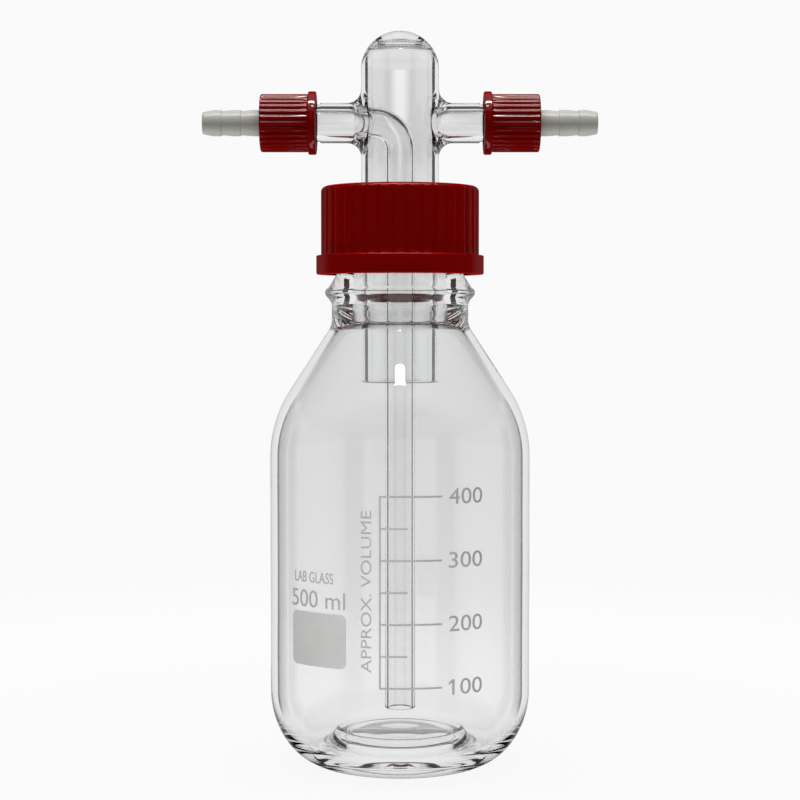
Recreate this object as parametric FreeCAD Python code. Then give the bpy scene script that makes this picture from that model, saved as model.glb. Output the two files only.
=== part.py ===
"""Gas washing bottle: a lab bottle with a screw neck, a one-piece glass head with a dip tube, and two
screwed hose connectors.

Units are millimetres. The origin is the centre of the base, +Z points up, the side arms lie along X, and
the printed scale faces -Y. Each piece is written to parts/NAME.step.
"""

import FreeCAD, Part
import math
import os

V = FreeCAD.Vector
UP = V(0, 0, 1)
ORIGIN = V(0, 0, 0)

# ---------------------------------------------------------------- driving dimensions

# bottle
BODY_R = 43.0            # outside of the round body
BODY_WALL = 2.7
SHOULDER_Z = 102.2       # height where the straight wall ends
SHOULDER_ANGLE = 33.0    # half angle of the shoulder's cone, degrees
SHOULDER_ROUND = 41.0    # convex round from wall to cone
THROAT_ROUND = 6.4       # concave round from cone to neck
BORE_ROUND = 20.0        # concave round where the neck's bore opens into the body
NECK_H = 38.35           # from the top of the shoulder to the rim
NECK_WALL = 4.6          # glass between the bore and the root of the thread
THROAT_OUT = 0.3         # how far the neck below the bead stands out past the thread
BEAD_OUT = 2.5           # how far the bead stands out past the thread
BEAD_BELOW_SKIRT = 6.1   # from the cap's lower edge down to the bead's widest line
BEAD_LOW_H = 3.4         # from the bead's lower edge up to its widest line
BEAD_HIGH_H = 1.6        # from there up to its upper edge
BEAD_TOP_IN = 0.9        # how much narrower it is at its upper edge
COLLAR_OUT = 0.8         # taper of the neck above the bead, out of the thread's root
HEEL_W = 20.0            # the heel is a quarter of an oval, this wide
HEEL_H = 25.0            # and this high
FOOT_W = 2.5             # width of the flat ring that the bottle stands on
PUSH_UP = 7.2            # depth of the hollow under the base
PUSH_UP_LEAN = 0.3       # the hollow's wall leans in by this share of its depth, and so does its corner
BASE_T = 4.8             # glass above the hollow
PLATEAU_IN = 0.8         # from the foot's inner edge in to the edge of the raised middle
PLATEAU_FALL = 0.6       # how far the raised middle falls by its edge
BANK_OUT = 1.6           # from the foot's inner edge out to where the bank round it starts
BANK_FALL = 2.2          # how far down that is
TROUGH_T = 6.4           # glass at the lowest point of the inside
TROUGH_OUT = 4.5         # from the foot's outer edge out to that lowest point
TROUGH_W = 3.0           # width of the round that the bank ends in
TROUGH_RISE = 0.7        # its height
RIM_ROUND = 1.2

# neck thread, shared by bottle and cap
NECK_PITCH = 4.0
NECK_RIDGE_R = 22.3      # crest of the glass thread
NECK_RIDGE_H = 1.7       # height of the glass thread
NECK_RIDGE_TURNS = 1.9
NECK_RIDGE_BELOW_RIM = 4.6
NECK_CREST_GAP = 0.3     # radial gap between the two crests
NECK_GROOVE = 1.2        # depth of the cap's own thread

# every thread ridge, as shares of its pitch
RIDGE_ROOT_SHARE = 0.6
RIDGE_CREST_SHARE = 0.24
ROOT_SUNK = 0.3          # how deep a ridge's root is sunk in its wall

# neck cap
CAP_WALL = 2.3
CAP_TOP_T = 2.0
CAP_H = 29.0
CAP_SKIRT_H = 6.3
CAP_SKIRT_OUT = 1.6      # how far the skirt ring stands out
CAP_TUBE_GAP = 4.15      # from the wide tube to the edge of the cap's opening
CAP_RIBS = 36
CAP_RIB_DEPTH = 0.4
CAP_ROUND = 1.8

# neck seal and the inert washer below it
SEAL_T = 3.0
SEAL_EDGE_GAP = 1.6      # from the seal's edge to the cap's inner thread
RIM_WASHER_T = 0.5
TUBE_FIT_GAP = 0.05      # radial clearance of seal and washer on the wide tube

# glass head
TUBE_IN_NECK_GAP = 3.15  # space between the wide tube and the neck's bore
TUBE_WALL = 2.15
TUBE_BELOW_RIM = 59.6    # how far the wide tube reaches into the bottle
TUBE_POLISH = 0.8        # round of its open lower end
HEAD_ABOVE_CAP = 51.1    # from the cap's top to the top of the dome
DOME_SHARE = 0.8716      # height of the domed end, for the tube's radius
DOME_T = 3.5             # glass at the top of the dome
DOME_INNER_SHARE = 0.4673   # height of the inside of the domed end, for its radius
DOME_CORNER_SHARE = 0.2804  # its corner, for its radius
ARM_ABOVE_CAP = 20.9     # from the cap's top to the arms' axis
ARM_STEP = 0.5           # how far an arm stands out past the root of its thread
ARM_WALL = 2.3
ARM_BLEND_SHARE = 0.736  # round where an arm joins the wide tube, for the difference of their radii
BORE_BLEND = 1.2         # round where the outlet bore opens into the wide tube
ARM_L = 28.45            # from the wide tube's wall to an arm's end
ARM_FINISH_L = 15.1      # length of an arm's screw finish

# dip tube
DIP_R = 5.1
DIP_WALL = 1.35
DIP_BEND_R = 8.8
DIP_ROOT_OUT = 2.15      # from the wide tube's wall out to where it starts in the inlet arm
DIP_END_ABOVE_BASE = 6.3  # from the inside of the base up to its open end
POLISH = 0.5             # fire-polished edges

# side screw finish, shared by arm and side cap
SIDE_PITCH = 2.5
SIDE_CORE_R = 6.1
SIDE_RIDGE_H = 0.9
SIDE_RIDGE_TURNS = 3.0
SIDE_RIDGE_FROM_END = 2.0
SIDE_GAP = 0.25          # radial clearance between the two threads

# side caps
SIDE_CAP_WALL = 2.3
SIDE_CAP_L = 18.4
SIDE_CAP_TOP_T = 2.0
SIDE_APERTURE_GAP = 0.45
SIDE_SKIRT_L = 2.6
SIDE_SKIRT_OUT = 0.85
SIDE_RIBS = 30
SIDE_RIB_DEPTH = 0.45
SIDE_ROUND = 0.7

# hose connectors
NOZZLE_R = 4.3           # ridges that hold the hose
NOZZLE_BORE_R = 3.0
NOZZLE_OUT = 19.1        # how far it stands out of the side cap
NOZZLE_RIDGES = 3
NOZZLE_STEP = 0.35       # height of each ridge's shoulder
NOZZLE_LAND = 2.5        # straight part of each ridge
NOZZLE_LEAD = 0.7        # how much the tip tapers
COLLAR_T = 1.5           # collar that the cap presses on the washer
COLLAR_GAP = 0.2         # radial gap between collar or washer and the cap's thread
WASHER_T = 1.2
WASHER_BORE_GAP = 0.3    # how much wider the washer's hole is than the nozzle's bore

# prints fired on the front of the body
PRINT_T = 0.12
LINE_W = 0.6
SCALE_BOTTOM_Z = 32.6
SCALE_BELOW_SHOULDER = 9.6
SCALE_STEPS = 3
SCALE_LEFT = -8.8        # degrees round the body from the front
SCALE_LONG_RIGHT = 17.8
SCALE_SHORT_RIGHT = 3.1
PANEL_LEFT = -52.5
PANEL_RIGHT = -23.2
PANEL_LOW_Z = 38.0
PANEL_H = 17.1
PANEL_CORNER = 2.0

# ---------------------------------------------------------------- derived places

FINISH_CORE_R = NECK_RIDGE_R - NECK_RIDGE_H
BORE_R = FINISH_CORE_R - NECK_WALL
THROAT_R = NECK_RIDGE_R + THROAT_OUT
BEAD_R = NECK_RIDGE_R + BEAD_OUT
BODY_BORE_R = BODY_R - BODY_WALL
TUBE_R = BORE_R - TUBE_IN_NECK_GAP
TUBE_BORE_R = TUBE_R - TUBE_WALL
DOME_H = round(DOME_SHARE * TUBE_R, 2)
DOME_INNER_H = round(DOME_INNER_SHARE * TUBE_BORE_R, 2)
DOME_CORNER = round(DOME_CORNER_SHARE * TUBE_BORE_R, 2)
DIP_BORE_R = DIP_R - DIP_WALL
FOOT_R = BODY_R - HEEL_W
SLOPE = math.radians(SHOULDER_ANGLE)
SHOULDER_ROUNDS = SHOULDER_ROUND + THROAT_ROUND
CONE_W = BODY_R - THROAT_R - SHOULDER_ROUNDS * (1 - math.cos(SLOPE))
THROAT_Z = SHOULDER_Z + SHOULDER_ROUNDS * math.sin(SLOPE) + CONE_W / math.tan(SLOPE)
RIM_Z = round(THROAT_Z + NECK_H, 1)
SCALE_STEP_Z = (SHOULDER_Z - SCALE_BELOW_SHOULDER - SCALE_BOTTOM_Z) / SCALE_STEPS
SEAL_Z = RIM_Z + RIM_WASHER_T
CAP_UNDER_TOP_Z = SEAL_Z + SEAL_T
CAP_TOP_Z = CAP_UNDER_TOP_Z + CAP_TOP_T
CAP_LOW_Z = CAP_TOP_Z - CAP_H
CAP_THREAD_R = NECK_RIDGE_R + NECK_CREST_GAP
CAP_BORE_R = CAP_THREAD_R + NECK_GROOVE
CAP_R = CAP_BORE_R + CAP_WALL
CAP_APERTURE_R = TUBE_R + CAP_TUBE_GAP
SEAL_R = CAP_THREAD_R - SEAL_EDGE_GAP
SEAL_BORE_R = TUBE_R + TUBE_FIT_GAP
BEAD_Z = CAP_LOW_Z - BEAD_BELOW_SKIRT
TUBE_LOW_Z = RIM_Z - TUBE_BELOW_RIM
HEAD_TOP_Z = CAP_TOP_Z + HEAD_ABOVE_CAP
ARM_Z = CAP_TOP_Z + ARM_ABOVE_CAP
ARM_R = SIDE_CORE_R + ARM_STEP
ARM_BORE_R = ARM_R - ARM_WALL
ARM_BLEND = ARM_BLEND_SHARE * (TUBE_R - ARM_R)
ARM_END_X = TUBE_R + ARM_L
ARM_NECK_X = ARM_END_X - ARM_FINISH_L
DIP_ROOT_X = TUBE_R + DIP_ROOT_OUT
DIP_END_Z = PUSH_UP + BASE_T + DIP_END_ABOVE_BASE
SIDE_THREAD_R = SIDE_CORE_R + SIDE_GAP
SIDE_RIDGE_R = SIDE_CORE_R + SIDE_RIDGE_H
SIDE_BORE_R = SIDE_RIDGE_R + SIDE_GAP
SIDE_CAP_R = SIDE_BORE_R + SIDE_CAP_WALL
COLLAR_R = SIDE_THREAD_R - COLLAR_GAP
COLLAR_X = ARM_END_X + WASHER_T
SIDE_UNDER_TOP_X = COLLAR_X + COLLAR_T
SIDE_CAP_END_X = SIDE_UNDER_TOP_X + SIDE_CAP_TOP_T
SIDE_CAP_START_X = SIDE_CAP_END_X - SIDE_CAP_L
NOZZLE_TIP_X = SIDE_CAP_END_X + NOZZLE_OUT

SIDES = (("inlet", -1), ("outlet", 1))


# ---------------------------------------------------------------- helpers

def line(a, b):
    """Straight edge between two (radius, height) points of an outline in the XZ plane."""
    return Part.LineSegment(V(a[0], 0, a[1]), V(b[0], 0, b[1])).toShape()


def arc(a, through, b):
    """Circular edge through three (radius, height) points of an outline."""
    return Part.Arc(V(a[0], 0, a[1]), V(through[0], 0, through[1]), V(b[0], 0, b[1])).toShape()


def around(centre, radius, angle):
    """Point of an outline at an angle, in degrees, on a circle about centre."""
    turn = math.radians(angle)
    return centre[0] + radius * math.cos(turn), centre[1] + radius * math.sin(turn)


def bend(centre, radius, start, end):
    """Circular edge about centre, from angle start to angle end in degrees."""
    points = [around(centre, radius, angle) for angle in (start, (start + end) / 2, end)]
    return arc(*points)


def dome(radius, rise, top):
    """Edge of a round cap of a sphere, from its rim up to its highest point on the Z axis."""
    sphere = (radius ** 2 + rise ** 2) / (2 * rise)
    centre = (0, top - sphere)
    half_way = 90 - math.degrees(math.asin(radius / sphere)) / 2
    return arc((radius, top - rise), around(centre, sphere, half_way), (0, top))


def quarter_oval(low, width, height):
    """Edge that leaves the lowest point level and ends upright, width further out and height further up."""
    centre = V(low[0], 0, low[1] + height)
    if width > height:
        oval = Part.Ellipse(centre + V(width, 0, 0), centre - V(0, 0, height), centre)
        return Part.ArcOfEllipse(oval, 0, math.pi / 2).toShape()
    oval = Part.Ellipse(centre - V(0, 0, height), centre + V(width, 0, 0), centre)
    return Part.ArcOfEllipse(oval, 0, math.pi / 2).toShape()


def turned(edges):
    """Solid of revolution about Z of a closed outline given as edges, with its seam away from the arms."""
    face = Part.Face(Part.Wire(Part.__sortEdges__(edges)))
    solid = face.revolve(ORIGIN, UP, 360)
    solid.rotate(ORIGIN, UP, 90)
    return solid


def turned_outline(points):
    """Solid of revolution about Z of a closed outline with straight sides."""
    return turned([line(a, b) for a, b in zip(points, points[1:] + points[:1])])


def tube(outer_r, inner_r, low, high):
    """Ring or tube about Z between two heights."""
    return turned_outline([(inner_r, low), (outer_r, low), (outer_r, high), (inner_r, high)])


def disc(radius, low, high):
    """Plain cylinder about Z between two heights."""
    return Part.makeCylinder(radius, high - low, V(0, 0, low))


def rod_along_x(radius, start, end):
    """Plain cylinder along the arms' axis, with its seam at the back."""
    rod = Part.makeCylinder(radius, end - start, V(start, 0, ARM_Z), V(1, 0, 0))
    rod.rotate(V(0, 0, ARM_Z), V(1, 0, 0), 90)
    return rod


def seams_at(shape, low_x, high_x):
    """Edges where two round tubes cross, between two distances from the Z axis along X."""
    found = []
    for edge in shape.Edges:
        if edge.Degenerated or isinstance(edge.Curve, (Part.Line, Part.Circle)):
            continue
        if low_x < abs(edge.CenterOfMass.x) < high_x:
            found.append(edge)
    return found


def thread_ridge(root_r, crest_r, pitch, turns, low):
    """Right-hand helical ridge about Z whose middle starts at height low on the +X side.

    root_r is larger than crest_r for a ridge inside a cap.
    """
    root_w = RIDGE_ROOT_SHARE * pitch
    crest_w = RIDGE_CREST_SHARE * pitch
    helix = Part.Wire(Part.makeHelix(pitch, pitch * turns, min(root_r, crest_r)))
    outline = [(root_r, -root_w / 2), (crest_r, -crest_w / 2), (crest_r, crest_w / 2), (root_r, root_w / 2)]
    profile = Part.Wire([line(a, b) for a, b in zip(outline, outline[1:] + outline[:1])])
    ridge = helix.makePipeShell([profile], True, True)
    ridge.translate(V(0, 0, low))
    return ridge


def ribbed_drum(radius, depth, ribs, low, high):
    """Drum about Z whose side has wide ribs with narrow hollows between them."""
    pitch = 2 * math.pi / ribs
    hollow = 0.35 * pitch

    def at(r, angle):
        return V(r * math.cos(angle), r * math.sin(angle), low)

    edges = []
    for n in range(ribs):
        start = n * pitch
        end = start + pitch - hollow
        edges.append(Part.Arc(at(radius, start), at(radius, (start + end) / 2), at(radius, end)).toShape())
        middle = at(radius - depth, end + hollow / 2)
        edges.append(Part.Arc(at(radius, end), middle, at(radius, start + pitch)).toShape())
    return Part.Face(Part.Wire(edges)).extrude(V(0, 0, high - low))


def rounded_top(radius, corner, low, high):
    """Drum about Z with a rounded upper edge, to trim a ribbed drum."""
    return turned([
        line((0, low), (radius, low)),
        line((radius, low), (radius, high - corner)),
        bend((radius - corner, high - corner), corner, 0, 90),
        line((radius - corner, high), (0, high)),
        line((0, high), (0, low)),
    ])


def skirt_ring(radius, low, high, edge):
    """Disc at a cap's open end with small rounds on its outer edges."""
    ring = disc(radius, low, high)
    return ring.makeFillet(edge, [e for e in ring.Edges if isinstance(e.Curve, Part.Circle)])


def onto_side(shape, side):
    """Turns a shape built about Z so that +Z points outwards along X, at the arms' height."""
    placed = shape.copy()
    placed.rotate(ORIGIN, V(0, 1, 0), 90 * side)
    placed.translate(V(0, 0, ARM_Z))
    return placed


def print_patch(left, right, low, high):
    """Thin shell on the front of the body between two angles, in degrees from -Y towards +X."""
    reach = 2 * BODY_R
    corners = [ORIGIN]
    for angle in (left, (left + right) / 2, right):
        turn = math.radians(angle)
        corners.append(V(reach * math.sin(turn), -reach * math.cos(turn), 0))
    wedge = Part.Face(Part.makePolygon(corners + corners[:1])).extrude(V(0, 0, high - low))
    wedge.translate(V(0, 0, low))
    return disc(BODY_R + PRINT_T, low, high).common(wedge).cut(disc(BODY_R, low, high))


# ---------------------------------------------------------------- bottle

def shoulder(body_r, neck_r, convex_r, concave_r):
    """Outline edges from the top of the body's wall up to the neck, and the point where the neck starts."""
    rounds = (convex_r + concave_r) * (1 - math.cos(SLOPE))
    cone = (body_r - neck_r - rounds) / math.sin(SLOPE)
    centre = (body_r - convex_r, SHOULDER_Z)
    cone_low = around(centre, convex_r, SHOULDER_ANGLE)
    cone_high = (cone_low[0] - cone * math.sin(SLOPE), cone_low[1] + cone * math.cos(SLOPE))
    throat_centre = around(cone_high, concave_r, SHOULDER_ANGLE)
    edges = [
        bend(centre, convex_r, 0, SHOULDER_ANGLE),
        line(cone_low, cone_high),
        bend(throat_centre, concave_r, 180 + SHOULDER_ANGLE, 180),
    ]
    return edges, around(throat_centre, concave_r, 180)


def base_underside(foot_in):
    """Outline edges of the hollow under the base, from the foot ring in to the middle."""
    lean = PUSH_UP_LEAN * PUSH_UP
    wall_top = (foot_in - lean, 0.7 * PUSH_UP)
    corner = (wall_top[0] - 0.07 * PUSH_UP, 0.86 * PUSH_UP)
    roof = (wall_top[0] - lean, 0.93 * PUSH_UP)
    return [line((foot_in, 0), wall_top), arc(wall_top, corner, roof), line(roof, (0, PUSH_UP))]


def base_inside(foot_in, trough):
    """Outline edges of the inside of the base, from the middle out to its lowest ring."""
    top = PUSH_UP + BASE_T
    edge = (foot_in - PLATEAU_IN, top - PLATEAU_FALL)
    edge_bulge = (foot_in + 0.44 * BANK_OUT, top - BANK_FALL / 2)
    bank = (foot_in + BANK_OUT, top - BANK_FALL)
    foot = (trough[0] - TROUGH_W, trough[1] + TROUGH_RISE)
    foot_hollow = (trough[0] - 0.53 * TROUGH_W, trough[1] + 0.26 * TROUGH_RISE)
    return [
        line((0, top), edge),
        arc(edge, edge_bulge, bank),
        line(bank, foot),
        arc(foot, foot_hollow, trough),
    ]


def neck_finish(start):
    """Outline edges from the throat up over the bead and the screw finish to the inside of the rim."""
    bead = (BEAD_R, BEAD_Z)
    bead_low = (THROAT_R, BEAD_Z - BEAD_LOW_H)
    bead_high = (BEAD_R - BEAD_TOP_IN, BEAD_Z + BEAD_HIGH_H)
    core_low = (FINISH_CORE_R + COLLAR_OUT, CAP_LOW_Z - 0.6)
    core_high = (FINISH_CORE_R, CAP_LOW_Z + 0.8)
    return [
        line(start, bead_low),
        arc(bead_low, (BEAD_R - 0.7, BEAD_Z - 0.41 * BEAD_LOW_H), bead),
        arc(bead, (BEAD_R - 0.11 * BEAD_TOP_IN, BEAD_Z + 0.63 * BEAD_HIGH_H), bead_high),
        line(bead_high, core_low),
        line(core_low, core_high),
        line(core_high, (FINISH_CORE_R, RIM_Z - RIM_ROUND)),
        bend((FINISH_CORE_R - RIM_ROUND, RIM_Z - RIM_ROUND), RIM_ROUND, 0, 90),
        line((FINISH_CORE_R - RIM_ROUND, RIM_Z), (BORE_R + RIM_ROUND, RIM_Z)),
        bend((BORE_R + RIM_ROUND, RIM_Z - RIM_ROUND), RIM_ROUND, 90, 180),
    ]


def bottle_glass():
    """Blown bottle: round body, pushed-up base, cone shoulder, bead and screw finish."""
    outer, throat = shoulder(BODY_R, THROAT_R, SHOULDER_ROUND, THROAT_ROUND)
    inner, bore_low = shoulder(BODY_BORE_R, BORE_R, SHOULDER_ROUND - BODY_WALL, BORE_ROUND)
    foot_in = FOOT_R - FOOT_W
    trough = (FOOT_R + TROUGH_OUT, TROUGH_T)
    edges = base_underside(foot_in) + [line((0, PUSH_UP), (0, PUSH_UP + BASE_T))]
    edges += base_inside(foot_in, trough)
    edges.append(quarter_oval(trough, BODY_BORE_R - trough[0], HEEL_H - TROUGH_T))
    edges.append(line((BODY_BORE_R, HEEL_H), (BODY_BORE_R, SHOULDER_Z)))
    edges += inner
    edges.append(line(bore_low, (BORE_R, RIM_Z - RIM_ROUND)))
    edges += neck_finish(throat)
    edges += outer
    edges.append(line((BODY_R, SHOULDER_Z), (BODY_R, HEEL_H)))
    edges.append(quarter_oval((FOOT_R, 0), HEEL_W, HEEL_H))
    edges.append(line((FOOT_R, 0), (foot_in, 0)))
    ridge_low = RIM_Z - NECK_RIDGE_BELOW_RIM - NECK_PITCH * NECK_RIDGE_TURNS
    ridge = thread_ridge(FINISH_CORE_R - ROOT_SUNK, NECK_RIDGE_R, NECK_PITCH, NECK_RIDGE_TURNS, ridge_low)
    return turned(edges).fuse(ridge)


def volume_scale():
    """Upright line with a long mark at each full step and a short one at each half step."""
    half = LINE_W / 2
    top = SCALE_BOTTOM_Z + SCALE_STEPS * SCALE_STEP_Z
    line_angle = math.degrees(LINE_W / BODY_R)
    shape = print_patch(SCALE_LEFT, SCALE_LEFT + line_angle, SCALE_BOTTOM_Z - half, top + half)
    for n in range(2 * SCALE_STEPS + 1):
        z = SCALE_BOTTOM_Z + n * SCALE_STEP_Z / 2
        right = SCALE_SHORT_RIGHT if n % 2 else SCALE_LONG_RIGHT
        shape = shape.fuse(print_patch(SCALE_LEFT, right, z - half, z + half))
    return shape.removeSplitter()


def marking_panel():
    """Rounded panel to write on."""
    half_angle = (PANEL_RIGHT - PANEL_LEFT) / 2
    half_w = BODY_R * math.sin(math.radians(half_angle))
    block = Part.makeBox(2 * half_w, BODY_R, PANEL_H, V(-half_w, -1.5 * BODY_R, PANEL_LOW_Z))
    corners = [e for e in block.Edges if abs(e.Vertexes[0].Y - e.Vertexes[1].Y) > BODY_R / 2]
    panel = block.makeFillet(PANEL_CORNER, corners).common(
        disc(BODY_R + PRINT_T, PANEL_LOW_Z, PANEL_LOW_Z + PANEL_H))
    panel = panel.cut(disc(BODY_R, PANEL_LOW_Z, PANEL_LOW_Z + PANEL_H))
    panel.rotate(ORIGIN, UP, PANEL_LEFT + half_angle)
    return panel


# ---------------------------------------------------------------- neck closure

def rim_washer():
    """Thin inert washer between the bottle's rim and the silicone seal."""
    return tube(SEAL_R, SEAL_BORE_R, RIM_Z, SEAL_Z)


def neck_seal():
    """Silicone ring that the cap presses on the rim and round the wide tube."""
    return tube(SEAL_R, SEAL_BORE_R, SEAL_Z, CAP_UNDER_TOP_Z)


def neck_cap():
    """Open-topped screw cap with ribs, a plain skirt ring and its own inner thread."""
    drum = ribbed_drum(CAP_R, CAP_RIB_DEPTH, CAP_RIBS, CAP_LOW_Z + CAP_SKIRT_H / 2, CAP_TOP_Z)
    drum = drum.common(rounded_top(CAP_R + 1, CAP_ROUND + 1, CAP_LOW_Z, CAP_TOP_Z))
    cap = drum.fuse(skirt_ring(CAP_R + CAP_SKIRT_OUT, CAP_LOW_Z, CAP_LOW_Z + CAP_SKIRT_H, 0.6))
    cap = cap.cut(disc(CAP_BORE_R, CAP_LOW_Z - 1, CAP_UNDER_TOP_Z))
    cap = cap.cut(disc(CAP_APERTURE_R, CAP_UNDER_TOP_Z - 1, CAP_TOP_Z + 1))
    ridge_low = RIM_Z - NECK_RIDGE_BELOW_RIM - NECK_PITCH * (NECK_RIDGE_TURNS + 0.5)
    ridge = thread_ridge(CAP_BORE_R + ROOT_SUNK, CAP_THREAD_R, NECK_PITCH, NECK_RIDGE_TURNS, ridge_low)
    return cap.fuse(ridge)


# ---------------------------------------------------------------- glass head

def head_outside():
    """Outer shape of the domed tube and both side arms, blended where they meet."""
    polished_z = TUBE_LOW_Z + TUBE_POLISH
    body = turned([
        line((0, TUBE_LOW_Z), (TUBE_R - TUBE_POLISH, TUBE_LOW_Z)),
        bend((TUBE_R - TUBE_POLISH, polished_z), TUBE_POLISH, -90, 0),
        line((TUBE_R, polished_z), (TUBE_R, HEAD_TOP_Z - DOME_H)),
        dome(TUBE_R, DOME_H, HEAD_TOP_Z),
        line((0, HEAD_TOP_Z), (0, TUBE_LOW_Z)),
    ])
    joined = body.fuse(rod_along_x(ARM_R, -ARM_NECK_X, ARM_NECK_X))
    return joined.makeFillet(ARM_BLEND, seams_at(joined, TUBE_R / 2, TUBE_R + 1))


def head_inside():
    """Space inside the domed tube and the outlet arm."""
    top = HEAD_TOP_Z - DOME_T
    flat_r = TUBE_BORE_R - DOME_CORNER
    corner_z = top - DOME_INNER_H
    rise = DOME_INNER_H - DOME_CORNER
    mouth_r = TUBE_BORE_R + TUBE_POLISH
    well = turned([
        line((0, TUBE_LOW_Z - 1), (mouth_r, TUBE_LOW_Z - 1)),
        line((mouth_r, TUBE_LOW_Z - 1), (mouth_r, TUBE_LOW_Z)),
        bend((mouth_r, TUBE_LOW_Z + TUBE_POLISH), TUBE_POLISH, 270, 180),
        line((TUBE_BORE_R, TUBE_LOW_Z + TUBE_POLISH), (TUBE_BORE_R, corner_z)),
        bend((flat_r, corner_z), DOME_CORNER, 0, 90),
        dome(flat_r, rise, top),
        line((0, top), (0, TUBE_LOW_Z - 1)),
    ])
    joined = well.fuse(rod_along_x(ARM_BORE_R, 0, ARM_END_X + 1))
    return joined.makeFillet(BORE_BLEND, seams_at(joined, ARM_BORE_R, TUBE_R))


def arm_finish():
    """Screw finish at the end of an arm, built about Z from the arm's neck outwards."""
    core = disc(SIDE_CORE_R, ARM_NECK_X - 1, ARM_END_X)
    core = core.makeFillet(POLISH, [e for e in core.Edges if e.BoundBox.ZMin > ARM_NECK_X])
    low = ARM_END_X - SIDE_RIDGE_FROM_END - SIDE_PITCH * SIDE_RIDGE_TURNS
    root_r = SIDE_CORE_R - ROOT_SUNK
    return core.fuse(thread_ridge(root_r, SIDE_RIDGE_R, SIDE_PITCH, SIDE_RIDGE_TURNS, low))


def head_glass():
    """One-piece head: wide tube with a domed end, an inlet arm and an outlet arm."""
    head = head_outside()
    for _, side in SIDES:
        head = head.fuse(onto_side(arm_finish(), side))
    head = head.cut(head_inside())
    head = head.cut(rod_along_x(ARM_BORE_R, -ARM_END_X - 1, -DIP_ROOT_X))
    return head.cut(rod_along_x(DIP_R, -DIP_ROOT_X, -TUBE_BORE_R / 2))


def dip_tube():
    """Narrow tube from the inlet arm, round a bend and down the middle to just above the base."""

    def rod(radius, spare):
        level = Part.makeCylinder(
            radius, DIP_ROOT_X - DIP_BEND_R + spare, V(-DIP_ROOT_X - spare, 0, ARM_Z), V(1, 0, 0))
        circle = Part.Wire(Part.makeCircle(radius, V(-DIP_BEND_R, 0, ARM_Z), V(1, 0, 0)))
        elbow = Part.Face(circle).revolve(V(-DIP_BEND_R, 0, ARM_Z - DIP_BEND_R), V(0, 1, 0), 90)
        upright = disc(radius, DIP_END_Z - spare, ARM_Z - DIP_BEND_R)
        return level.fuse(elbow).fuse(upright)

    outside = rod(DIP_R, 0)
    outside = outside.makeFillet(POLISH, [e for e in outside.Edges if e.BoundBox.ZMax < DIP_END_Z + POLISH])
    return outside.cut(rod(DIP_BORE_R, 1))


# ---------------------------------------------------------------- hose connections

def side_cap():
    """Small ribbed screw cap, built about Z with its open end at the bottom."""
    drum_low = SIDE_CAP_START_X + SIDE_SKIRT_L / 2
    drum = ribbed_drum(SIDE_CAP_R, SIDE_RIB_DEPTH, SIDE_RIBS, drum_low, SIDE_CAP_END_X)
    drum = drum.common(rounded_top(SIDE_CAP_R + 0.5, SIDE_ROUND + 0.5, SIDE_CAP_START_X, SIDE_CAP_END_X))
    skirt = skirt_ring(SIDE_CAP_R + SIDE_SKIRT_OUT, SIDE_CAP_START_X, SIDE_CAP_START_X + SIDE_SKIRT_L, 0.5)
    cap = drum.fuse(skirt).cut(disc(SIDE_BORE_R, SIDE_CAP_START_X - 1, SIDE_UNDER_TOP_X))
    cap = cap.cut(disc(NOZZLE_R + SIDE_APERTURE_GAP, SIDE_UNDER_TOP_X - 1, SIDE_CAP_END_X + 1))
    low = ARM_END_X - SIDE_RIDGE_FROM_END - SIDE_PITCH * (SIDE_RIDGE_TURNS + 0.5)
    ridge = thread_ridge(SIDE_BORE_R + ROOT_SUNK, SIDE_THREAD_R, SIDE_PITCH, SIDE_RIDGE_TURNS, low)
    return cap.fuse(ridge)


def hose_connector():
    """Moulded nozzle with a collar under the cap and ridges that hold a hose."""
    run = NOZZLE_OUT / NOZZLE_RIDGES
    low_r = NOZZLE_R - NOZZLE_STEP
    points = [(NOZZLE_BORE_R, COLLAR_X), (COLLAR_R, COLLAR_X)]
    points += [(COLLAR_R, SIDE_UNDER_TOP_X), (low_r, SIDE_UNDER_TOP_X)]
    for n in range(NOZZLE_RIDGES):
        start = SIDE_CAP_END_X + n * run
        end_r = low_r if n < NOZZLE_RIDGES - 1 else NOZZLE_R - NOZZLE_LEAD
        points += [(low_r, start), (NOZZLE_R, start)]
        points += [(NOZZLE_R, start + NOZZLE_LAND), (end_r, start + run)]
    points.append((NOZZLE_BORE_R, NOZZLE_TIP_X))
    kept = [p for p, before in zip(points, points[-1:] + points[:-1]) if math.dist(p, before) > 1e-6]
    return turned_outline(kept)


def side_washer():
    """Flat silicone washer between an arm's end and the nozzle's collar."""
    return tube(COLLAR_R, NOZZLE_BORE_R + WASHER_BORE_GAP, ARM_END_X, COLLAR_X)


# ---------------------------------------------------------------- write every piece

def pieces():
    """Each piece's name and shape."""
    made = {
        "bottle_glass": bottle_glass(),
        "volume_scale": volume_scale(),
        "marking_panel": marking_panel(),
        "rim_washer": rim_washer(),
        "neck_seal": neck_seal(),
        "neck_cap": neck_cap(),
        "head_glass": head_glass(),
        "dip_tube": dip_tube(),
    }
    shapes = (("washer", side_washer()), ("hose_connector", hose_connector()), ("side_cap", side_cap()))
    for side_name, side in SIDES:
        for name, shape in shapes:
            made[f"{side_name}_{name}"] = onto_side(shape, side)
    return made


def main():
    os.makedirs("parts", exist_ok=True)
    for name, shape in pieces().items():
        box = shape.BoundBox
        corners = (box.XMin, box.XMax, box.YMin, box.YMax, box.ZMin, box.ZMax)
        print(f"{name}: {len(shape.Solids)} solid, {shape.Volume:.0f} mm3, valid {shape.isValid()}, box",
              *(f"{value:.2f}" for value in corners))
        Part.makeCompound(shape.Solids).exportStep(f"parts/{name}.step")


main()
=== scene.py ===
import math

import bpy
from mathutils import Matrix, Vector


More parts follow.
